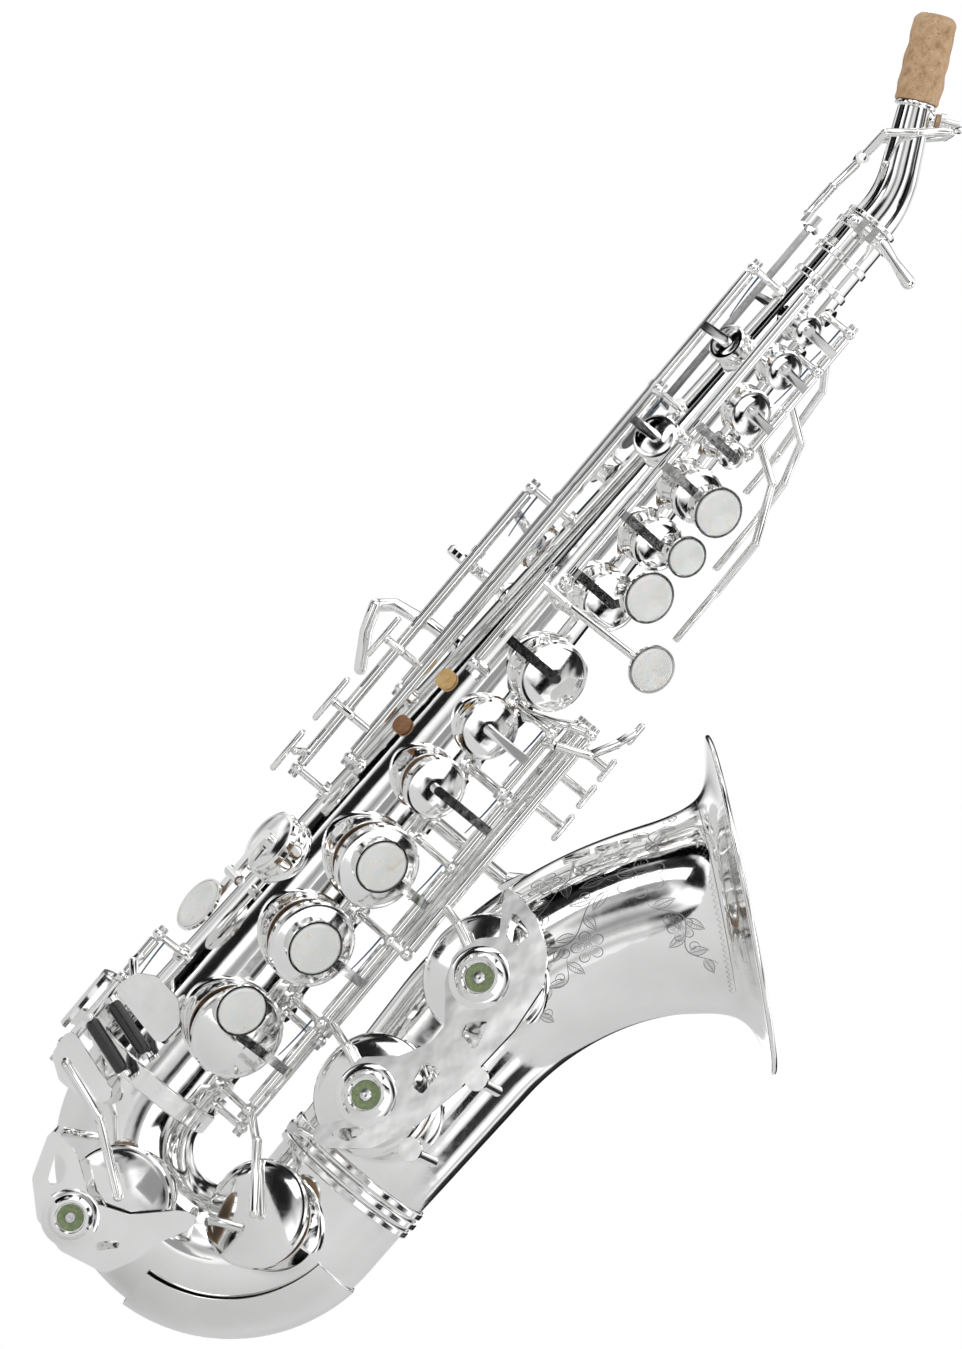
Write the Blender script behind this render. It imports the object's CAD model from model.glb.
"""Curved soprano saxophone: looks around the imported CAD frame.

Smooth tubes, tone holes, cork, springs, screw heads and engraving are made here; keys, posts, guards,
pearls and pads are the CAD nodes with rounded edges and materials. The part's own lengths are in mm; those
of the materials, the modifiers and the stage are in metres.
"""
import math
import random

import bmesh
import bpy
from mathutils import Matrix, Vector
from mathutils.bvhtree import BVHTree


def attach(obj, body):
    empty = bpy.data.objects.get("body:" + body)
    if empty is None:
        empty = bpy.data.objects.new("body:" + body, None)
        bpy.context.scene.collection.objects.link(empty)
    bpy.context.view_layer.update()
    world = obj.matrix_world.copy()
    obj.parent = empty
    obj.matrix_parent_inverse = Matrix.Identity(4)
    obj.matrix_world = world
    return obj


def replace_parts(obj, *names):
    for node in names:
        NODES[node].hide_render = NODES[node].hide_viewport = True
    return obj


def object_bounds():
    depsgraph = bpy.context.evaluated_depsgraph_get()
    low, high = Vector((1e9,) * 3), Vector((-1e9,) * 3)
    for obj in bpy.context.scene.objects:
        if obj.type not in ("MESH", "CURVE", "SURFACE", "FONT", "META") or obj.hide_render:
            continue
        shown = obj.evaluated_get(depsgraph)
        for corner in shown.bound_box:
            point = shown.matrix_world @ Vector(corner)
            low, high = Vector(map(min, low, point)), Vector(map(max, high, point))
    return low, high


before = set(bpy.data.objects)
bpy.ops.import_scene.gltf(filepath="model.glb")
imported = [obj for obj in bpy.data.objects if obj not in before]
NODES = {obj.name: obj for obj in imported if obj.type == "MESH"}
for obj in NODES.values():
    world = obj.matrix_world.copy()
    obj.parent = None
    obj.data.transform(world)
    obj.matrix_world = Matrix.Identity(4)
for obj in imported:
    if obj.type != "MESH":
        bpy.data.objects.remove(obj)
cad_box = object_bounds()

MM = 0.001


def mm(x, y, z):
    """Row-frame point, in metres, of a point given in mm from the body tube's own axis and top."""
    return Vector((x + 25, y - 10, z + 128)) * MM


def angles(n):
    return [2 * math.pi * j / n for j in range(n)]


def steps(a, b, n):
    return [a + (b - a) * i / n for i in range(n + 1)]


# ---------------------------------------------------------------- materials


def new_material(name, base, metallic=0.0, **sockets):
    m = bpy.data.materials.new(name)
    m.use_nodes = True
    b = m.node_tree.nodes["Principled BSDF"]
    b.inputs["Base Color"].default_value = (*base, 1)
    b.inputs["Metallic"].default_value = metallic
    for k, v in sockets.items():
        b.inputs[k.replace("_", " ")].default_value = v
    return m, m.node_tree, b


def object_coords(tree):
    return tree.nodes.new("ShaderNodeTexCoord").outputs["Object"]


def noise_tex(tree, coord, scale, detail=3.0, rough=0.5, distortion=0.0):
    n = tree.nodes.new("ShaderNodeTexNoise")
    n.inputs["Scale"].default_value = scale
    n.inputs["Detail"].default_value = detail
    n.inputs["Roughness"].default_value = rough
    n.inputs["Distortion"].default_value = distortion
    tree.links.new(coord, n.inputs["Vector"])
    return n.outputs["Fac"]


def ramp(tree, fac, stops):
    r = tree.nodes.new("ShaderNodeValToRGB")
    e = r.color_ramp.elements
    while len(e) < len(stops):
        e.new(0.5)
    for el, (pos, col) in zip(e, stops):
        el.position = pos
        el.color = (*col, 1) if len(col) == 3 else col
    tree.links.new(fac, r.inputs["Fac"])
    return r.outputs["Color"]


def grey(v):
    return (v, v, v)


def bump(tree, shader, height, strength, distance):
    b = tree.nodes.new("ShaderNodeBump")
    b.inputs["Strength"].default_value = strength
    b.inputs["Distance"].default_value = distance
    tree.links.new(height, b.inputs["Height"])
    tree.links.new(b.outputs["Normal"], shader.inputs["Normal"])


def plated(name, light, dark, rough_lo, rough_hi, wave):
    """Polished plating: faint tarnish, fine polishing marks and slight unevenness of the sheet."""
    m, t, b = new_material(name, light, 1.0)
    co = object_coords(t)
    tarnish = noise_tex(t, co, 45, 4)
    t.links.new(ramp(t, tarnish, [(0.3, dark), (0.62, light)]), b.inputs["Base Color"])
    marks = noise_tex(t, co, 900, 3, 0.7)
    roughness = ramp(t, marks, [(0.3, grey(rough_lo)), (0.75, grey(rough_hi))])
    t.links.new(roughness, b.inputs["Roughness"])
    bump(t, b, noise_tex(t, co, 130, 1.5), wave, 0.0006)
    return m


silver = plated("silver_plate", (0.95, 0.95, 0.945), (0.86, 0.86, 0.855), 0.045, 0.11, 0.10)
silver_key = plated("silver_key", (0.95, 0.95, 0.945), (0.85, 0.85, 0.845), 0.05, 0.12, 0.06)
steel = plated("steel", (0.72, 0.72, 0.73), (0.6, 0.6, 0.61), 0.12, 0.22, 0.03)
blued = plated("blued_steel", (0.10, 0.14, 0.26), (0.05, 0.07, 0.15), 0.2, 0.3, 0.02)
cut_line = plated("engraved_line", (0.36, 0.36, 0.36), (0.2, 0.2, 0.2), 0.3, 0.45, 0.2)


def make_pearl():
    m, t, b = new_material("pearl", (0.9, 0.88, 0.83), 0.0)
    b.inputs["Coat Weight"].default_value = 0.8
    b.inputs["Coat Roughness"].default_value = 0.06
    b.inputs["Specular IOR Level"].default_value = 0.6
    co = object_coords(t)
    clouds = noise_tex(t, co, 190, 2.5, 0.55, 1.4)
    t.links.new(ramp(t, clouds, [(0.25, (0.80, 0.76, 0.68)), (0.42, (0.93, 0.91, 0.87)),
                                 (0.55, (0.86, 0.90, 0.88)), (0.68, (0.95, 0.89, 0.88)),
                                 (0.85, (0.97, 0.96, 0.94))]), b.inputs["Base Color"])
    layers = noise_tex(t, co, 420, 3, 0.5, 2.0)
    t.links.new(ramp(t, layers, [(0.3, grey(0.14)), (0.7, grey(0.3))]), b.inputs["Roughness"])
    bump(t, b, layers, 0.08, 0.0002)
    return m


def make_cork():
    m, t, b = new_material("cork", (0.62, 0.42, 0.24), 0.0, Roughness=0.8)
    co = object_coords(t)
    big = noise_tex(t, co, 330, 5, 0.65)
    pits = noise_tex(t, co, 1100, 3, 0.7)
    mix = t.nodes.new("ShaderNodeMix")
    mix.data_type = "RGBA"
    mix.blend_type = "MULTIPLY"
    mix.inputs["Factor"].default_value = 0.75
    browns = ramp(t, big, [(0.28, (0.36, 0.20, 0.10)), (0.45, (0.60, 0.38, 0.21)),
                           (0.62, (0.70, 0.48, 0.29)), (0.8, (0.78, 0.58, 0.38))])
    t.links.new(browns, mix.inputs["A"])
    t.links.new(ramp(t, pits, [(0.3, grey(0.45)), (0.45, grey(1.0))]), mix.inputs["B"])
    t.links.new(mix.outputs["Result"], b.inputs["Base Color"])
    t.links.new(ramp(t, big, [(0.3, grey(0.92)), (0.7, grey(0.66))]), b.inputs["Roughness"])
    bump(t, b, pits, 0.5, 0.0004)
    return m


def make_leather(name, lo, hi, scale):
    m, t, b = new_material(name, hi, 0.0)
    co = object_coords(t)
    n = noise_tex(t, co, scale, 4, 0.6)
    t.links.new(ramp(t, n, [(0.3, lo), (0.7, hi)]), b.inputs["Base Color"])
    t.links.new(ramp(t, n, [(0.3, grey(0.75)), (0.7, grey(0.5))]), b.inputs["Roughness"])
    v = t.nodes.new("ShaderNodeTexVoronoi")
    v.inputs["Scale"].default_value = scale * 1.7
    t.links.new(co, v.inputs["Vector"])
    bump(t, b, v.outputs["Distance"], 0.35, 0.0003)
    return m


def make_felt(name, lo, hi):
    m, t, b = new_material(name, hi, 0.0)
    b.inputs["Sheen Weight"].default_value = 0.6
    b.inputs["Sheen Roughness"].default_value = 0.5
    co = object_coords(t)
    n = noise_tex(t, co, 1300, 5, 0.75)
    t.links.new(ramp(t, n, [(0.3, lo), (0.7, hi)]), b.inputs["Base Color"])
    t.links.new(ramp(t, n, [(0.3, grey(0.98)), (0.7, grey(0.85))]), b.inputs["Roughness"])
    bump(t, b, n, 0.9, 0.0006)
    return m


def make_resin():
    m, t, b = new_material("black_resin", (0.012, 0.012, 0.013), 0.0)
    b.inputs["Coat Weight"].default_value = 0.4
    co = object_coords(t)
    n = noise_tex(t, co, 700, 3)
    blacks = ramp(t, n, [(0.3, (0.008, 0.008, 0.009)), (0.7, (0.022, 0.021, 0.021))])
    t.links.new(blacks, b.inputs["Base Color"])
    t.links.new(ramp(t, n, [(0.3, grey(0.16)), (0.7, grey(0.3))]), b.inputs["Roughness"])
    bump(t, b, n, 0.05, 0.0001)
    return m


pearl = make_pearl()
cork = make_cork()
leather = make_leather("pad_leather", (0.42, 0.26, 0.14), (0.62, 0.43, 0.27), 700)
amber = make_leather("amber_bumper", (0.62, 0.36, 0.12), (0.80, 0.55, 0.26), 500)
brown = make_leather("brown_bumper", (0.22, 0.10, 0.04), (0.36, 0.18, 0.08), 500)
felt = make_felt("green_felt", (0.16, 0.24, 0.10), (0.44, 0.52, 0.28))
resin = make_resin()

# ---------------------------------------------------------------- CAD nodes that stay


SAME_POINT = 1e7    # per metre: corners that agree to 0.1 micron are one point


def islands(mesh):
    """Lists of polygon indices, one list per separate solid of a mesh."""
    key, parent = {}, []

    def find(i):
        while parent[i] != i:
            parent[i] = parent[parent[i]]
            i = parent[i]
        return i

    vid = []
    for v in mesh.vertices:
        k = tuple(round(c * SAME_POINT) for c in v.co)
        if k not in key:
            key[k] = len(parent)
            parent.append(len(parent))
        vid.append(key[k])
    for p in mesh.polygons:
        a = find(vid[p.vertices[0]])
        for w in p.vertices[1:]:
            parent[find(vid[w])] = a
    groups = {}
    for p in mesh.polygons:
        groups.setdefault(find(vid[p.vertices[0]]), []).append(p.index)
    return list(groups.values())


def thinnest(mesh, polys):
    """Extent of a solid along its widest flat side's normal."""
    best = max(polys, key=lambda i: mesh.polygons[i].area)
    n = mesh.polygons[best].normal
    d = [mesh.vertices[v].co.dot(n) for i in polys for v in mesh.polygons[i].vertices]
    return max(d) - min(d)


FINE_BEVEL, WIDE_BEVEL = 0.18 * MM, 0.3 * MM
WELD_DISTANCE = 2e-6
BEVEL_ANGLE = math.radians(32)


def dress(node, mats, pick=None, bevel=FINE_BEVEL, segments=2):
    """Smooth shading, small rounded edges and materials for a CAD node that stays."""
    o = NODES[node]
    me = o.data
    me.materials.clear()
    for m in mats:
        me.materials.append(m)
    for p in me.polygons:
        p.use_smooth = True
        p.material_index = 0
    if pick:
        for isl in islands(me):
            k = pick(me, isl)
            for i in isl:
                me.polygons[i].material_index = k
    if me.has_custom_normals:
        att = me.attributes.get("custom_normal")
        if att:
            me.attributes.remove(att)
    w = o.modifiers.new("weld", "WELD")
    w.merge_threshold = WELD_DISTANCE
    if bevel:
        b = o.modifiers.new("bevel", "BEVEL")
        b.width = bevel
        b.segments = segments
        b.limit_method = "ANGLE"
        b.angle_limit = BEVEL_ANGLE
        b.use_clamp_overlap = True
        b.harden_normals = True


PAD_THICK_LO, PAD_THICK_HI = 1.12 * MM, 1.22 * MM


def pad_or_metal(mesh, isl):
    """1, the leather, for a solid as thick as a pad, and 0 for metal."""
    return 1 if PAD_THICK_LO < thinnest(mesh, isl) < PAD_THICK_HI else 0


KEYS = ["palm_f_key", "palm_e_flat_key", "palm_d_key", "high_e_key", "side_c_key", "side_b_flat_key",
        "small_c_key", "b_key", "bis_key", "a_key", "g_key", "g_sharp_key", "f_sharp_key", "f_key", "e_key",
        "d_key", "alternate_f_sharp_key", "e_flat_key", "low_c_key", "low_c_sharp_key", "low_b_key",
        "low_b_flat_key", "neck_octave_key"]
for k in KEYS:
    dress(k, [silver_key, leather], pad_or_metal)
for k in ["neck_receiver", "strap_ring", "thumb_hook", "thumb_rest", "bell_brace", "bell_key_guard",
          "low_c_guard", "e_flat_guard", "clamp_screw", "neck_tenon", "octave_lever", "key_posts", "ferrules",
          "rim_ring", "bow_guard", "body_tube", "bow", "bell", "neck_tube"]:
    dress(k, [silver])
for k in ["bell_key_guard", "low_c_guard", "bow_guard", "e_flat_guard"]:
    NODES[k].modifiers["bevel"].width = WIDE_BEVEL
    NODES[k].modifiers["bevel"].segments = 3
for k in [n for n in NODES if n.endswith("_pearl")]:
    dress(k, [pearl], bevel=WIDE_BEVEL, segments=3)
for k in ["e_flat_roller", "low_c_roller"]:
    dress(k, [resin], bevel=WIDE_BEVEL, segments=3)
dress("hinge_rods", [steel])
dress("needle_springs", [blued], bevel=0)
dress("neck_cork", [cork], bevel=0.4 * MM, segments=3)


GREEN_BELOW, AMBER_ABOVE = -200, -166


def felt_colour(mesh, isl):
    """0, green, for the lowest bumpers, 1, amber, for the highest and 2, brown, for those between."""
    z = max(mesh.vertices[v].co.z for i in isl for v in mesh.polygons[i].vertices)
    if z < mm(0, 0, GREEN_BELOW).z:
        return 0
    return 1 if z > mm(0, 0, AMBER_ABOVE).z else 2


dress("guard_felts", [felt, amber, brown], felt_colour)

# ---------------------------------------------------------------- smooth tubes in place of the CAD ones


def link(name, me, mats, body):
    for m in mats:
        me.materials.append(m)
    o = bpy.data.objects.new(name, me)
    bpy.context.scene.collection.objects.link(o)
    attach(o, body)
    return o


def mesh_of(name, verts, faces, crease=40):
    """Smooth-shaded mesh whose edges sharper than the crease angle stay crisp."""
    me = bpy.data.meshes.new(name)
    bm = bmesh.new()
    vs = [bm.verts.new(tuple(v)) for v in verts]
    for f in faces:
        bm.faces.new([vs[i] for i in f])
    bmesh.ops.recalc_face_normals(bm, faces=bm.faces)
    for f in bm.faces:
        f.smooth = True
    for e in bm.edges:
        if len(e.link_faces) == 2 and e.calc_face_angle(0) > math.radians(crease):
            e.smooth = False
    bm.to_mesh(me)
    bm.free()
    return me


def shell_faces(n, s, loop=True):
    last = n if loop else n - 1
    return [(i * s + j, i * s + (j + 1) % s, (i + 1) % n * s + (j + 1) % s, (i + 1) % n * s + j)
            for i in range(last) for j in range(s)]


def shell(name, rings, mats, body):
    """Closed thin shell: outer rings from one end to the other, then inner rings back."""
    verts = [p for r in rings for p in r]
    return link(name, mesh_of(name, verts, shell_faces(len(rings), len(rings[0]))), mats, body)


def lathe(profile, centre, axis, sides=64):
    """Closed solid of revolution as (verts, faces); profile is [(radius, height)] in mm along the axis."""
    axis = Vector(axis).normalized()
    side = axis.orthogonal().normalized()
    other = axis.cross(side)
    verts = []
    for r, h in profile:
        for a in angles(sides):
            verts.append(centre + (axis * h + (side * math.cos(a) + other * math.sin(a)) * r) * MM)
    return verts, shell_faces(len(profile), sides)


WALL = 0.7          # thickness of the tubes' sheet
SIDES = 144         # facets round the body, the bow and the bell
NECK_SIDES = 96
BODY_TOP_Z, BODY_LOW_Z = -10.0, -292.0
BODY_TOP_R, BODY_LOW_R = 7.4, 18.5
BODY_SLOPE = (BODY_LOW_R - BODY_TOP_R) / (BODY_TOP_Z - BODY_LOW_Z)
BOW_R = 29.0
BOW_UP = 16.0
BOW_LEN = BOW_R * math.pi + BOW_UP
BELL_X = 2 * BOW_R
BELL_BEND = 96.0
LEAN = math.radians(39)
BELL_STRAIGHT = 18.3
BELL_ARC = BELL_BEND * LEAN
BELL_UPRIGHT = 49
BELL_LEN = BELL_STRAIGHT + BELL_ARC + BELL_UPRIGHT
BELL_FOOT_Z = BODY_LOW_Z + 65


def body_r(z):
    return BODY_TOP_R + (BODY_TOP_Z - z) * BODY_SLOPE


def tube_point(cx, cz, turn, r, a, sign=1):
    """Point at angle a and radius r about a centre line in the X-Z plane that leans by turn."""
    return mm(cx + r * math.cos(a) * math.cos(turn), r * math.sin(a),
              cz + r * math.cos(a) * (math.sin(turn) * sign))


def ring_points(cx, cz, turn, r, sides, sign=1):
    return [tube_point(cx, cz, turn, r, a, sign) for a in angles(sides)]


BELL_MOUTH_R, BELL_TAPER = 26.6, 0.045
RIM_FLARE, RIM_FLARE_LEN = 13, 1.6
THROAT_FLARE, THROAT_FLARE_LEN = 7, 8.5
SLOPE_STEP = 0.02


def bell_r(d):
    """The bell's radius at d mm from its rim, measured down the centre line."""
    return (BELL_MOUTH_R - BELL_TAPER * d + RIM_FLARE * math.exp(-d / RIM_FLARE_LEN)
            + THROAT_FLARE * math.exp(-d / THROAT_FLARE_LEN))


def bell_slope(d):
    """Slope of the bell's profile, and the length of one step of d along that slope."""
    m = (bell_r(d + SLOPE_STEP) - bell_r(d)) / SLOPE_STEP
    return m, math.sqrt(1 + m * m)


def bell_turn(d):
    if d < BELL_STRAIGHT:
        return LEAN
    return LEAN * max(0.0, 1 - (d - BELL_STRAIGHT) / BELL_ARC)


RIM_X = BELL_X + BELL_BEND * (1 - math.cos(LEAN)) + BELL_STRAIGHT * math.sin(LEAN)
RIM_Z = BELL_FOOT_Z + BELL_BEND * math.sin(LEAN) + BELL_STRAIGHT * math.cos(LEAN)


def bell_axis(d):
    if d < BELL_STRAIGHT:
        return RIM_X - d * math.sin(LEAN), RIM_Z - d * math.cos(LEAN)
    if d < BELL_STRAIGHT + BELL_ARC:
        t = bell_turn(d)
        return BELL_X + BELL_BEND * (1 - math.cos(t)), BELL_FOOT_Z + BELL_BEND * math.sin(t)
    return BELL_X, BELL_FOOT_Z - (d - BELL_STRAIGHT - BELL_ARC)


def bell_ring(d, w):
    """Ring of the bell's wall, w mm inside its outer face."""
    m, k = bell_slope(d)
    x, z = bell_axis(max(0.0, d + w * m / k))
    return ring_points(x, z, bell_turn(d), bell_r(d) - w / k, SIDES, -1)


def bow_at(s):
    turn = min(math.pi, s * BOW_LEN / BOW_R)
    rise = max(0.0, s * BOW_LEN - BOW_R * math.pi)
    return BOW_R * (1 - math.cos(turn)), BODY_LOW_Z - BOW_R * math.sin(turn) + rise, turn


def bow_ring(s, w):
    x, z, turn = bow_at(s)
    r = BODY_LOW_R + (bell_r(BELL_LEN) - BODY_LOW_R) * s
    return ring_points(x, z, turn, r - w, SIDES)


NECK_LEAN = math.radians(26.5)
NECK_R = 30.0
NECK_LOW, NECK_UP, NECK_TIP, CORK_LEN = 11.9, 3.0, 43.5, 24.0
NECK_FOOT_R, NECK_TAPER = 6.2, 1.6
NECK_ARC = NECK_R * NECK_LEAN
NECK_LEN = NECK_UP + NECK_ARC + NECK_TIP


def neck_at(s):
    if s < NECK_UP:
        return 0.0, NECK_LOW + s, 0.0
    t = min(NECK_LEAN, (s - NECK_UP) / NECK_R)
    more = max(0.0, s - NECK_UP - NECK_ARC)
    return (-NECK_R * (1 - math.cos(t)) - more * math.sin(t),
            NECK_LOW + NECK_UP + NECK_R * math.sin(t) + more * math.cos(t), t)


def neck_ring(s, r):
    x, z, t = neck_at(s)
    return ring_points(x, z, t, r, NECK_SIDES)


def neck_r(s):
    return NECK_FOOT_R - NECK_TAPER * min(1, s / (NECK_LEN - CORK_LEN))


# [face angle, tangent offset, height, rim level, hole radius]
BODY_HOLES = [(35, -3, -22, 11.4, 2.9), (35, -0.5, -34, 11.4, 4), (35, 0, -48.5, 11.4, 4.9),
              (-45, 0, -38, 11.2, 3.9), (-32, 0, -70, 12.3, 5), (-125, 0, -112, 14, 5.4),
              (38, 0, -61, 14.9, 2.1), (38, 0, -75, 14.9, 6), (38, 0, -92, 14.9, 5.9),
              (38, 0, -112, 14.9, 6.9), (38, 1.4, -137, 15.2, 8.4), (30, 0, -159, 15, 7),
              (22, -2, -180, 19.25, 7.2), (22, 0, -206, 19.25, 10.4), (22, 0, -233, 19.25, 10.6),
              (22, 0, -264, 19.25, 11.4), (-60, 0, -220, 18, 7.9), (-110, 0, -283, 20.8, 9.4)]
HOLE_WALL = 0.6
DRILL_SIDES = 48
DRILL_PROUD = 0.4    # how far the cutter stands out past the rim


def face_frame(angle):
    """Across, up and out of a key face that is turned by angle degrees about the tube."""
    a = math.radians(angle)
    across, out = Vector((math.cos(a), math.sin(a), 0)), Vector((math.sin(a), -math.cos(a), 0))
    return across, Vector((0, 0, 1)), out


def drill(obj, cuts):
    """Cuts round holes through one side of a shell.

    Each of the cuts is (centre at the rim, direction out, radius, depth).
    """
    bm = bmesh.new()
    for centre, out, radius, depth in cuts:
        side = out.orthogonal().normalized()
        other = out.cross(side)
        ends = []
        for h in (DRILL_PROUD, -depth):
            points = [centre + (out * h + (side * math.cos(a) + other * math.sin(a)) * radius) * MM
                      for a in angles(DRILL_SIDES)]
            ends.append([bm.verts.new(p) for p in points])
        for j in range(DRILL_SIDES):
            k = (j + 1) % DRILL_SIDES
            bm.faces.new((ends[0][j], ends[0][k], ends[1][k], ends[1][j]))
        bm.faces.new(ends[0])
        bm.faces.new(ends[1])
    bmesh.ops.recalc_face_normals(bm, faces=bm.faces)
    me = bpy.data.meshes.new("cutter")
    bm.to_mesh(me)
    bm.free()
    cutter = bpy.data.objects.new("cutter", me)
    bpy.context.scene.collection.objects.link(cutter)
    mod = obj.modifiers.new("holes", "BOOLEAN")
    mod.operation = "DIFFERENCE"
    mod.solver = "EXACT"
    mod.object = cutter
    bpy.context.view_layer.update()
    evaluated = obj.evaluated_get(bpy.context.evaluated_depsgraph_get())
    drilled = bpy.data.meshes.new_from_object(evaluated)
    obj.modifiers.remove(mod)
    obj.data = drilled
    bpy.data.objects.remove(cutter)


RAY_START = 6        # a ray towards the sheet starts this far outside the rim
RAY_REACH = 50 * MM
NO_SHEET = -20.0     # the sheet's level where a ray misses it


def chimney(name, tree, centre, et, ez, out, bore, body, wall=HOLE_WALL, spread=1.5, sides=72):
    """Drawn tone hole: flares out of the sheet at its foot and ends in a rounded lip at centre's level."""

    def around(a):
        return et * math.cos(a) + ez * math.sin(a)

    def surface(r, a):
        p = centre + around(a) * r * MM
        hit = tree.ray_cast(p + out * RAY_START * MM, -out, RAY_REACH)[0]
        return NO_SHEET if hit is None else (hit - centre).dot(out) / MM

    outer = bore + wall
    rings = []
    # The foot, as (distance out from the wall, lift off the sheet, share of the height that caps the lift)
    for dr, lift, part in ((spread, -0.06, 0), (spread * 0.5, 0.1, 0.1), (spread * 0.2, 0.5, 0.28),
                           (0.05, 1.1, 0.5), (0, 1.6, 0.7)):
        ring = []
        for a in angles(sides):
            s = surface(outer + dr, a)
            h = s + (lift if part == 0 else min(lift, -s * part))
            ring.append(centre + (around(a) * (outer + dr) + out * h) * MM)
        rings.append(ring)
    # The lip, as (radius, level), from the outer wall over the rim and down the bore
    for r, h in ((outer, -0.5), (outer + 0.06, -0.3), (outer + 0.16, -0.14), (outer + 0.1, -0.03),
                 (outer - 0.05, 0), (bore + 0.15, 0), (bore, -0.12), (bore, -0.8)):
        rings.append([centre + (around(a) * r + out * h) * MM for a in angles(sides)])
    rings.append([centre + (around(a) * bore + out * min(-0.9, surface(bore + 0.3, a) - 0.5)) * MM
                  for a in angles(sides)])
    verts = [p for r in rings for p in r]
    mesh = mesh_of(name, verts, shell_faces(len(rings), sides, loop=False), 60)
    return link(name, mesh, [silver], body)


def tree_of(obj):
    me = obj.data
    return BVHTree.FromPolygons([v.co for v in me.vertices], [tuple(p.vertices) for p in me.polygons])


DRILL_STOP = 0.35    # a cutter for the body ends at this part of the tube's radius
body_rings = [ring_points(0, z, 0, body_r(z), SIDES) for z in steps(BODY_TOP_Z, BODY_LOW_Z, 94)]
body_rings += [ring_points(0, z, 0, body_r(z) - WALL, SIDES) for z in (BODY_LOW_Z, BODY_TOP_Z)]
body_shell = shell("body_shell", body_rings, [silver], "instrument")
body_tree = tree_of(body_shell)
cuts = []
for i, (angle, t, z, level, bore) in enumerate(BODY_HOLES):
    et, ez, out = face_frame(angle)
    centre = mm(0, 0, 0) + (et * t + ez * z + out * level) * MM
    cuts.append((centre, out, bore, level - body_r(z) * DRILL_STOP))
    hole = chimney(f"tone_hole_{i:02d}", body_tree, centre, et, ez, out, bore, "instrument")
    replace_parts(hole, "body_tube")
drill(body_shell, cuts)
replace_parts(body_shell, "body_tube")

bow_rings = [bow_ring(s, 0) for s in steps(0, 1, 110)]
bow_rings += [bow_ring(s, WALL) for s in steps(1, 0, 30)]
bow_shell = shell("bow_shell", bow_rings, [silver], "instrument")
bow_tree = tree_of(bow_shell)
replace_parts(bow_shell, "bow")
BELL_STEPS = 150
RIM_CROWDING = 2.2    # above 1, rings lie closer together towards the rim
bell_steps = [BELL_LEN * (i / BELL_STEPS) ** RIM_CROWDING for i in range(BELL_STEPS + 1)]
bell_rings = [bell_ring(d, 0) for d in reversed(bell_steps)]
bell_rings += [bell_ring(d, WALL) for d in bell_steps]
bell_shell = shell("bell_shell", bell_rings, [silver], "instrument")
bell_tree = tree_of(bell_shell)
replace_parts(bell_shell, "bell")

# [node, face angle, x, height, rim level, hole radius, depth of the cutter]
LOW_HOLES = [("bell", -22, 58, -253, 23.6, 14.8, 16), ("bell", -22, 59.5, -210, 23.6, 14.8, 16),
             ("bow", -28, 58, -297, 24.4, 12.4, 16), ("bow", 0, 14.5, -317, 22.4, 11.8, 14)]
cuts = {"bell": [], "bow": []}
for i, (part, angle, x, z, level, bore, depth) in enumerate(LOW_HOLES):
    et, ez, out = face_frame(angle)
    centre = mm(x, 0, 0) + (ez * z + out * level) * MM
    tree = bell_tree if part == "bell" else bow_tree
    hole = chimney(f"low_tone_hole_{i}", tree, centre, et, ez, out, bore, "instrument")
    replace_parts(hole, part)
    cuts[part].append((centre, out, bore, depth))
drill(bell_shell, cuts["bell"])
drill(bow_shell, cuts["bow"])

neck_rings = [neck_ring(s, neck_r(s)) for s in steps(0, NECK_LEN, 90)]
neck_rings += [neck_ring(s, neck_r(s) - WALL) for s in steps(NECK_LEN, 0, 90)]
neck_shell = shell("neck_shell", neck_rings, [silver], "neck")
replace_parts(neck_shell, "neck_tube")
neck_tree = tree_of(neck_shell)


def neck_axes(s):
    x, z, t = neck_at(s)
    return mm(x, 0, z), Vector((math.cos(t), 0, math.sin(t))), Vector((-math.sin(t), 0, math.cos(t)))


PIP_BEFORE_CORK, COLLAR_BEFORE_CORK = 3.6, 1.6
PIP_LEVEL = 6.1
c, front, along = neck_axes(NECK_LEN - CORK_LEN - PIP_BEFORE_CORK)
pip = chimney("neck_pip", neck_tree, c + front * PIP_LEVEL * MM, Vector((0, 1, 0)), along, front, 0.7, "neck",
              wall=0.9, spread=1.1, sides=48)
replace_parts(pip, "neck_tube")
c, front, along = neck_axes(NECK_LEN - CORK_LEN - COLLAR_BEFORE_CORK)
COLLAR = [(4.5, 0), (5.3, 0), (5.55, 0.15), (5.65, 0.45), (5.65, 0.95), (5.55, 1.25), (5.3, 1.4), (4.5, 1.4)]
v, f = lathe(COLLAR, c, along, NECK_SIDES)
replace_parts(link("neck_collar", mesh_of("neck_collar", v, f), [silver], "neck"), "neck_tube")

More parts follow.
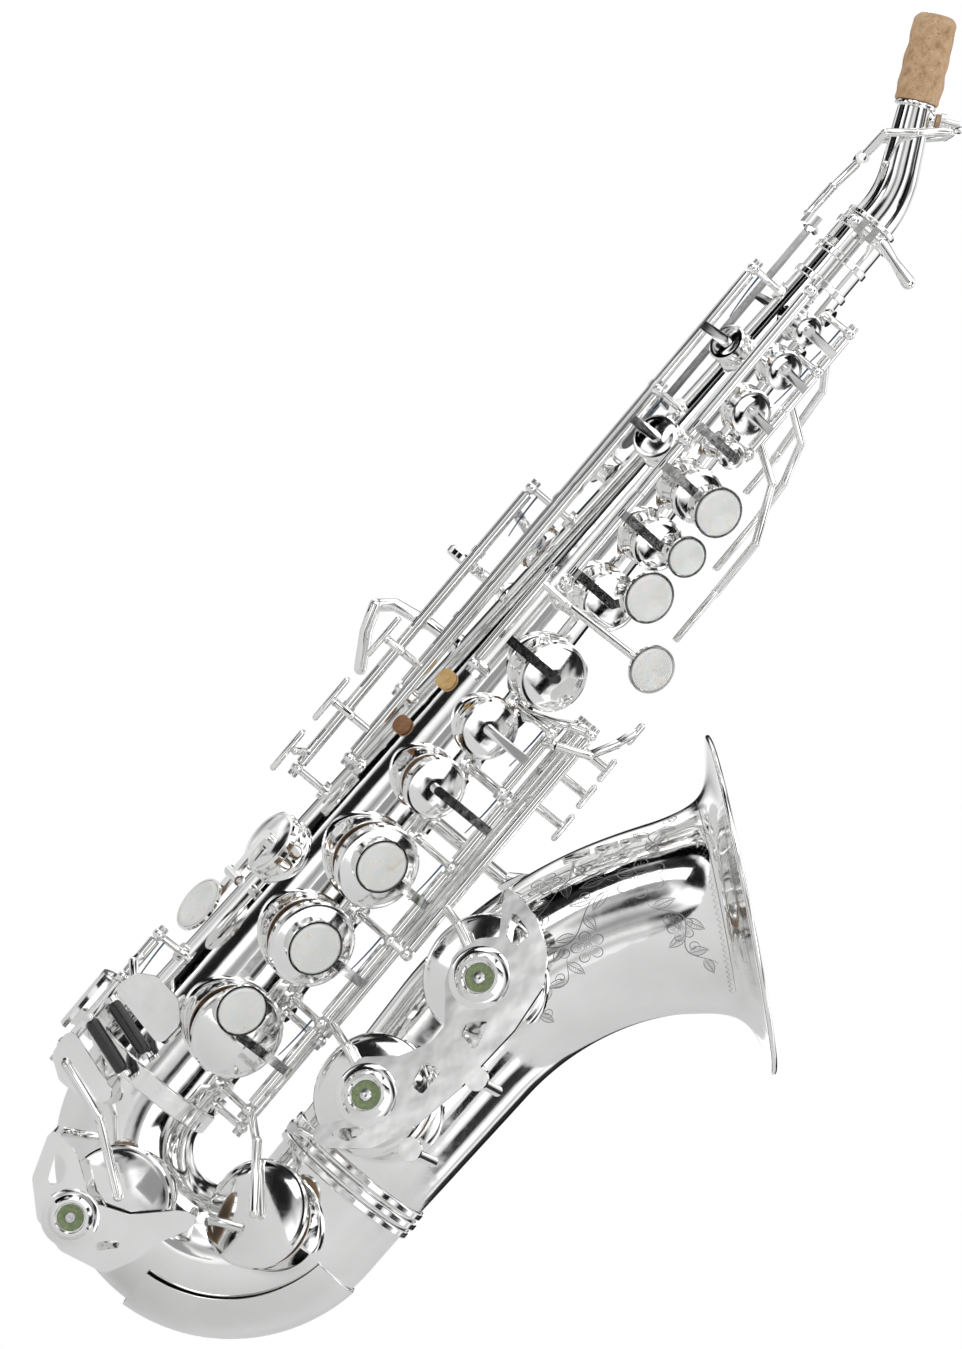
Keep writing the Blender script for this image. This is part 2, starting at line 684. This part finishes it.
# Cork: one wrapped sleeve worn to a soft taper, with a rounded end and an uneven surface
CORK_STEPS = 70
CORK_FOOT_R, CORK_TAPER, CORK_SWELL = 6.15, 0.35, 0.12
TIP_ROUND, TIP_ROUND_LEN = 1.15, 1.9
FOOT_ROUND, FOOT_ROUND_LEN = 0.4, 0.8
CORK_BORE_R, CORK_INSET = 4.62, 0.1
cork_random = random.Random(11)
wave = [(cork_random.uniform(0.3, 1.4), cork_random.uniform(0, 6.28), cork_random.randint(1, 7),
         cork_random.uniform(0.02, 0.05)) for i in range(14)]
cork_rings = []
for u in steps(0, 1, CORK_STEPS):
    s = NECK_LEN - CORK_LEN + CORK_LEN * u
    tip_left = CORK_LEN * (1 - u)
    r = CORK_FOOT_R - CORK_TAPER * u + CORK_SWELL * math.sin(math.pi * u)
    r -= (TIP_ROUND * max(0.0, 1 - tip_left / TIP_ROUND_LEN) ** 2
          + FOOT_ROUND * max(0.0, 1 - CORK_LEN * u / FOOT_ROUND_LEN) ** 2)
    x, z, t = neck_at(s)
    ring = []
    for a in angles(NECK_SIDES):
        uneven = sum(h * math.sin(k * a + f0 + s * q) for q, f0, k, h in wave)
        ring.append(tube_point(x, z, t, r + uneven, a))
    cork_rings.append(ring)
cork_rings += [neck_ring(NECK_LEN - CORK_INSET, CORK_BORE_R),
               neck_ring(NECK_LEN - CORK_LEN + CORK_INSET, CORK_BORE_R)]
cork_piece = shell("neck_cork_wrap", cork_rings, [cork], "neck")
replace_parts(cork_piece, "neck_cork")

# ---------------------------------------------------------------- engraving on the bell


ENGRAVE_SIDE = math.radians(-118)
ENGRAVE_R = 27.5       # the bell's radius that turns mm round it into an angle
ENGRAVE_LIFT = 0.035
LINE_STEP = 0.8
lines = []             # [(points as (u, d), width)]


def bell_point(u, d):
    """Point just off the bell: u mm round from the engraved side's middle, d mm from the rim."""
    x, z = bell_axis(d)
    r = bell_r(d) + ENGRAVE_LIFT / bell_slope(d)[1]
    return tube_point(x, z, bell_turn(d), r, ENGRAVE_SIDE + u / ENGRAVE_R, -1)


def leaf(x, y, ang, length, width):
    ca, sa = math.cos(ang), math.sin(ang)

    def at(p, q):
        return x + p * ca - q * sa, y + p * sa + q * ca

    def edge(t):
        return width * math.sin(math.pi * t) ** 0.8 * (1 - 0.35 * t)

    for side in (-1, 1):
        lines.append(([at(length * t, side * edge(t)) for t in steps(0, 1, 14)], 0.24))
        for k in range(1, 8):
            t = k / 9
            t2 = t + 0.14
            lines.append(([at(length * t, 0), at(length * (t + t2) / 2, side * edge(t2) * 0.4),
                           at(length * t2, side * edge(t2) * 0.82)], 0.13))
    lines.append(([at(length * t, 0.06 * width * math.sin(6 * t)) for t in steps(0, 1.05, 10)], 0.2))


def flower(x, y, radius, petals, spin):
    for p in range(petals):
        a0 = spin + 2 * math.pi * p / petals
        half = math.pi / petals * 0.95
        pts = []
        for t in steps(-1, 1, 16):
            r = radius * (0.3 + 0.7 * math.cos(t * math.pi / 2) ** 0.5)
            pts.append((x + r * math.cos(a0 + half * t), y + r * math.sin(a0 + half * t)))
        lines.append((pts, 0.26))
        for t in (-0.5, -0.25, 0, 0.25, 0.5):
            r1 = radius * (0.86 - 0.25 * abs(t))
            a = a0 + half * t
            lines.append(([(x + radius * 0.34 * math.cos(a), y + radius * 0.34 * math.sin(a)),
                           (x + r1 * math.cos(a + t * 0.1), y + r1 * math.sin(a + t * 0.1))], 0.14))
    for r in (0.12, 0.24):
        lines.append(([(x + radius * r * math.cos(a), y + radius * r * math.sin(a))
                       for a in steps(0, 2 * math.pi, 18)], 0.18))


def scroll(x, y, ang, radius, turns, way):
    pts = []
    for t in steps(0, 1, 36):
        a = ang + way * 2 * math.pi * turns * t
        r = radius * (1 - t) ** 0.8
        pts.append((x + r * math.cos(a), y + r * math.sin(a)))
    lines.append((pts, 0.24))


def vine(x0, y0, x1, y1, sway, count, phase):
    pts = []
    for t in steps(0, 1, 40):
        k = sway * math.sin(2 * math.pi * (t * 1.5 + phase))
        dx, dy = x1 - x0, y1 - y0
        n = math.hypot(dx, dy)
        pts.append((x0 + dx * t - dy / n * k, y0 + dy * t + dx / n * k))
    lines.append((pts, 0.28))
    for i in range(count):
        j = int((i + 0.5) / count * 39)
        px, py = pts[j]
        qx, qy = pts[j + 1]
        a = math.atan2(qy - py, qx - px)
        side = 1 if i % 2 else -1
        leaf(px, py, a + side * 0.85, 6.2 - 0.25 * i, 1.5)
        if i % 3 == 1:
            scroll(px - side * 2.2 * math.sin(a), py + side * 2.2 * math.cos(a), a, 1.7, 1.3, side)


BORDER_TEETH, BORDER_HALF = 44, 34

flower(-2, 24, 6.2, 6, 0.2)
flower(12, 42, 4.6, 5, 0.7)
flower(-14, 45, 4.2, 5, 0.1)
flower(15, 17, 3.6, 5, 0.4)
vine(2, 30, 8, 68, 4, 9, 0.1)
vine(-6, 30, -9, 66, -4, 8, 0.4)
vine(5, 22, 27, 11, 2.4, 6, 0.2)
vine(-8, 22, -27, 12, -2.4, 6, 0.6)
vine(14, 47, 22, 66, 2.5, 5, 0.3)
vine(-17, 49, -22, 64, -2.5, 4, 0.3)
for u in steps(-BORDER_HALF, BORDER_HALF, BORDER_TEETH - 1):
    lines.append(([(u, 6.4), (u + 0.8, 7.4), (u + 1.55, 6.4)], 0.16))
lines.append(([(u, 5.7) for u in steps(-35, 35, 80)], 0.2))

verts, faces = [], []
for pts, width in lines:
    dense = [pts[0]]
    for p, q in zip(pts, pts[1:]):
        n = max(1, int(math.dist(p, q) / LINE_STEP))
        dense += [(p[0] + (q[0] - p[0]) * i / n, p[1] + (q[1] - p[1]) * i / n) for i in range(1, n + 1)]
    base = len(verts)
    for i, (u, d) in enumerate(dense):
        a = dense[max(0, i - 1)]
        b = dense[min(len(dense) - 1, i + 1)]
        dx, dy = b[0] - a[0], b[1] - a[1]
        n = math.hypot(dx, dy) or 1.0
        taper = min(1.0, 0.3 + 1.4 * min(i, len(dense) - 1 - i) / max(2, len(dense)) * 2)
        w = width / 2 * taper
        verts.append(bell_point(u - dy / n * w, d + dx / n * w))
        verts.append(bell_point(u + dy / n * w, d - dx / n * w))
    for i in range(len(dense) - 1):
        k = base + 2 * i
        faces.append((k, k + 2, k + 3, k + 1))
link("bell_engraving", mesh_of("bell_engraving", verts, faces), [cut_line], "instrument")

# ---------------------------------------------------------------- springs and rod screws

# Hinge rods as (x, y), the rods' ends as (rod, low, high), and the posts that hold a spring as (rod, height)
ROD = {"rh": (24.65, -11.6), "lh": (-1.2, -21), "g": (-6, -21), "g_sharp": (22, -14), "b_flat": (30.4, -13.6),
       "b": (27.6, -8.5), "c_sharp": (26.5, -3.5), "palm": (14.4, -4.8), "side_c": (-15.2, -8.4),
       "high_e": (-16.7, -4.1), "side_b_flat": (-24.5, -1), "foot": (-24, -8)}
ROD_ENDS = [("rh", -281, -169), ("lh", -116.5, -12), ("g", -149.5, -115), ("g_sharp", -171, -147.6),
            ("b_flat", -219.5, -141), ("b", -254, -141), ("c_sharp", -286, -141), ("palm", -58, -13),
            ("side_c", -190.5, -58), ("high_e", -167.5, -16), ("side_b_flat", -202, -100), ("foot", -302, -257)]
SPRUNG_POSTS = [("rh", -170.5), ("rh", -194), ("rh", -219.5), ("rh", -248.5), ("lh", -14), ("lh", -66),
                ("g_sharp", -149), ("palm", -14.5), ("palm", -28), ("side_c", -59.5), ("high_e", -17.5),
                ("side_b_flat", -101.5), ("c_sharp", -142.5), ("foot", -258.5)]
SPRING_R, SPRING_LEN, SPRING_IN = 0.26, 13.0, 2.6
SPRING_BEND, SPRING_TAPER = 0.9, 0.45
SPRING_SIDES, SPRING_STEPS = 10, 8


def add_shell(verts, faces, rings):
    """Adds a capped tube through the rings to a list of vertices and a list of faces."""
    k, n, last = len(verts), len(rings[0]), len(rings) - 1
    verts += [p for ring in rings for p in ring]
    faces += [(k + i * n + j, k + i * n + (j + 1) % n, k + (i + 1) * n + (j + 1) % n, k + (i + 1) * n + j)
              for i in range(last) for j in range(n)]
    faces.append(tuple(k + j for j in range(n)))
    faces.append(tuple(k + last * n + j for j in range(n)))


verts, faces = [], []
for rod, z in SPRUNG_POSTS:
    x, y = ROD[rod]
    n = math.hypot(x, y)
    rings = []
    for t in steps(0, 1, SPRING_STEPS):
        bend = SPRING_IN + SPRING_BEND * t * t
        r = SPRING_R * (1 - SPRING_TAPER * t)
        rings.append([mm(x - x / n * bend + r * math.cos(a), y - y / n * bend + r * math.sin(a),
                         z - 1.0 - SPRING_LEN * t) for a in angles(SPRING_SIDES)])
    add_shell(verts, faces, rings)
springs = link("blued_springs", mesh_of("blued_springs", verts, faces, 60), [blued], "instrument")
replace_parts(springs, "needle_springs")

HEAD_R, HEAD_H, SLOT_W, SLOT_D = 1.3, 1.0, 0.34, 0.45
HEAD_CHAMFER, CHAMFER_SCALE = 0.1, 0.93
SLOT_Y = math.sqrt(HEAD_R ** 2 - SLOT_W ** 2 / 4)
CORE = 0.02          # a solid of revolution closes this far from its axis
verts, faces = [], []
for rod, z0, z1 in ROD_ENDS:
    for z, way in ((z0, -1), (z1, 1)):
        centre = mm(*ROD[rod], z)
        v, f = lathe([(CORE, -0.5), (HEAD_R - 0.1, -0.5), (HEAD_R, -0.4), (HEAD_R, HEAD_H - SLOT_D),
                      (CORE, HEAD_H - SLOT_D)], centre, (0, 0, way), 32)
        k = len(verts)
        verts += v
        faces += [tuple(k + i for i in q) for q in f]
        for side in (-1, 1):
            half = [(side * SLOT_W / 2, -SLOT_Y)]
            half += [(side * HEAD_R * math.cos(a), HEAD_R * math.sin(a)) for a in steps(-1.4, 1.4, 14)]
            half.append((side * SLOT_W / 2, SLOT_Y))
            levels = ((HEAD_H - SLOT_D - 0.05, 1.0), (HEAD_H - HEAD_CHAMFER, 1.0), (HEAD_H, CHAMFER_SCALE))
            add_shell(verts, faces, [[centre + Vector((px * q, py * q, way * h)) * MM for px, py in half]
                                     for h, q in levels])
link("rod_screw_heads", mesh_of("rod_screw_heads", verts, faces, 35), [steel], "instrument")

# ---------------------------------------------------------------- bumper bosses on the guards


BOSS_CREASE = 30
BOSS_RIM = [(5.2, -0.2), (4.3, 0.1), (4.3, 1.2), (4.6, 1.5), (5.5, 1.5), (6.1, 1.1), (6.7, 0.55), (7.9, 0.45),
            (8.5, 0.2), (8.5, -0.2)]
BOSS_STUD = [(1.7, -0.3), (1.7, 0.7), (1.45, 0.95), (0.7, 1.0), (0.6, 0.6)]


def boss(name, centre, out, k, body):
    """Turned rim and dished stud of a bumper, on the guard's outer face; k scales its width."""
    v, f = lathe([(r * k, h) for r, h in BOSS_RIM], centre, out, 96)
    link(name + "_rim", mesh_of(name + "_rim", v, f, BOSS_CREASE), [silver], body)
    v, f = lathe([(CORE, -0.3), *((r * k, h) for r, h in BOSS_STUD), (CORE, 0.55)], centre, out, 48)
    link(name + "_stud", mesh_of(name + "_stud", v, f, BOSS_CREASE), [steel], body)


GUARD_ANGLE, GUARD_TOP = -22, 35.3
GUARD_AT_X = 34      # a bumper's x is given this far out from the bell's axis
for name, x, z in (("low_b_flat_bumper", 49, -210.5), ("low_b_bumper", 46, -253.5)):
    et, ez, out = face_frame(GUARD_ANGLE)
    lean = math.radians(GUARD_ANGLE)
    t = (x - BELL_X - GUARD_AT_X * math.sin(lean)) / math.cos(lean)
    boss(name, mm(BELL_X, 0, 0) + (et * t + ez * z + out * GUARD_TOP) * MM, out, 1.0, "instrument")
boss("low_c_bumper", mm(6.5, -32.8, -328.5), Vector((0, -1, 0)), 0.9, "instrument")

# ---------------------------------------------------------------- floor, light, camera


def stage_mesh(name, verts, faces, mat):
    me = bpy.data.meshes.new(name)
    me.from_pydata(verts, [], faces)
    me.materials.append(mat)
    o = bpy.data.objects.new(name, me)
    bpy.context.scene.collection.objects.link(o)
    return o


def card(name, centre, toward, width, height, level):
    """Flat card that only reflections see; level 0 is black, above 1 it glows."""
    m, t, b = new_material(name, (0.0, 0.0, 0.0), 0.0, Roughness=1.0)
    b.inputs["Specular IOR Level"].default_value = 0.0
    b.inputs["Emission Color"].default_value = (1, 1, 1, 1)
    b.inputs["Emission Strength"].default_value = level
    n = (Vector(toward) - Vector(centre)).normalized()
    up = Vector((0, 0, 1)) if abs(n.z) < 0.9 else Vector((0, 1, 0))
    r = up.cross(n).normalized()
    u = n.cross(r)
    c = Vector(centre)
    pts = [c + r * (sx * width / 2) + u * (sy * height / 2)
           for sx, sy in ((-1, -1), (1, -1), (1, 1), (-1, 1))]
    o = stage_mesh(name, [tuple(p) for p in pts], [(0, 1, 2, 3)], m)
    o.visible_camera = False
    o.visible_shadow = False
    o.visible_diffuse = False


# The stage is in metres. The camera sees the floor and the world as plain white; reflections see a grey studio
FLOOR_DROP, FLOOR_R, FLOOR_SIDES = 0.02, 0.8, 64
aim = (Vector(cad_box[0]) + Vector(cad_box[1])) / 2
floor_z = Vector(cad_box[0]).z - FLOOR_DROP
floor_mat, ft, fb = new_material("floor", (0.82, 0.82, 0.82), 0.0, Roughness=0.9)
glow = ft.nodes.new("ShaderNodeEmission")
seen = ft.nodes.new("ShaderNodeLightPath")
blend = ft.nodes.new("ShaderNodeMixShader")
ft.links.new(seen.outputs["Is Camera Ray"], blend.inputs[0])
ft.links.new(fb.outputs[0], blend.inputs[1])
ft.links.new(glow.outputs[0], blend.inputs[2])
ft.links.new(blend.outputs[0], ft.nodes["Material Output"].inputs["Surface"])
stage_mesh("floor", [(FLOOR_R * math.cos(a), FLOOR_R * math.sin(a), floor_z) for a in angles(FLOOR_SIDES)],
           [tuple(range(FLOOR_SIDES))], floor_mat)

world = bpy.data.worlds.new("studio")
bpy.context.scene.world = world
world.use_nodes = True
wt = world.node_tree
bg = wt.nodes["Background"]
bg.inputs["Strength"].default_value = 1.0
direction = wt.nodes.new("ShaderNodeTexCoord").outputs["Generated"]
studio = wt.nodes.new("ShaderNodeTexNoise")
studio.noise_dimensions = "4D"
studio.inputs["W"].default_value = 3.7
studio.inputs["Scale"].default_value = 2.3
studio.inputs["Detail"].default_value = 1.6
studio.inputs["Distortion"].default_value = 0.5
wt.links.new(direction, studio.inputs["Vector"])
tones = ramp(wt, studio.outputs["Fac"], [(0.37, grey(0.01)), (0.435, grey(0.04)), (0.465, grey(0.4)),
                                         (0.52, grey(0.7)), (0.58, grey(1.1)), (0.66, grey(1.7))])
rays = wt.nodes.new("ShaderNodeLightPath")
back = wt.nodes.new("ShaderNodeMix")
back.data_type = "RGBA"
back.inputs["B"].default_value = (1, 1, 1, 1)
wt.links.new(rays.outputs["Is Camera Ray"], back.inputs["Factor"])
wt.links.new(tones, back.inputs["A"])
wt.links.new(back.outputs["Result"], bg.inputs["Color"])

CARD_D = 1.1
card("black_left", aim + Vector((-CARD_D, -0.15, 0.0)), aim, 0.30, 2.2, 0.0)
card("black_right", aim + Vector((CARD_D, -0.75, -0.1)), aim, 0.24, 2.2, 0.0)
card("white_left", aim + Vector((-0.95, -0.7, 0.85)), aim, 0.34, 1.6, 1.8)
card("white_right", aim + Vector((0.75, -1.3, 0.25)), aim, 0.32, 1.2, 1.5)
card("white_top", aim + Vector((0.1, -0.5, 1.3)), aim, 0.9, 0.5, 2.0)
card("grey_front", aim + Vector((0.02, -1.6, 0.12)), aim, 0.42, 0.5, 0.32)
card("black_low", aim + Vector((0.1, -1.1, -0.55)), aim, 1.5, 0.16, 0.0)


def area_light(name, pos, size, power):
    ld = bpy.data.lights.new(name, "AREA")
    ld.shape = "SQUARE"
    ld.size = size
    ld.energy = power
    lo = bpy.data.objects.new(name, ld)
    lo.location = pos
    lo.rotation_euler = (aim - Vector(pos)).to_track_quat("-Z", "Y").to_euler()
    bpy.context.scene.collection.objects.link(lo)


area_light("key_light", aim + Vector((-0.7, -1.1, 0.9)), 0.5, 3)
area_light("fill_light", aim + Vector((0.9, -0.9, 0.3)), 0.6, 1.5)

scene = bpy.context.scene
scene.view_settings.view_transform = "Standard"
scene.view_settings.look = "None"

ROLL = math.radians(40)
VIEW_HEIGHT = 0.366
LENS = 120.0
SENSOR = 36.0
cam_data = bpy.data.cameras.new("camera")
cam_data.lens = LENS
cam_data.sensor_width = SENSOR
cam_data.clip_start = 0.05
cam_data.clip_end = 50
camera = bpy.data.objects.new("camera", cam_data)
scene.collection.objects.link(camera)
distance = VIEW_HEIGHT * LENS / SENSOR
right = Vector((math.cos(ROLL), 0, math.sin(ROLL)))
up = Vector((-math.sin(ROLL), 0, math.cos(ROLL)))
look_at = mm(-2.6, 0, -149.0)
place = look_at - Vector((0, distance, 0))
camera.matrix_world = Matrix(((right.x, up.x, 0, place.x), (right.y, up.y, -1, place.y),
                              (right.z, up.z, 0, place.z), (0, 0, 0, 1)))
scene.camera = camera
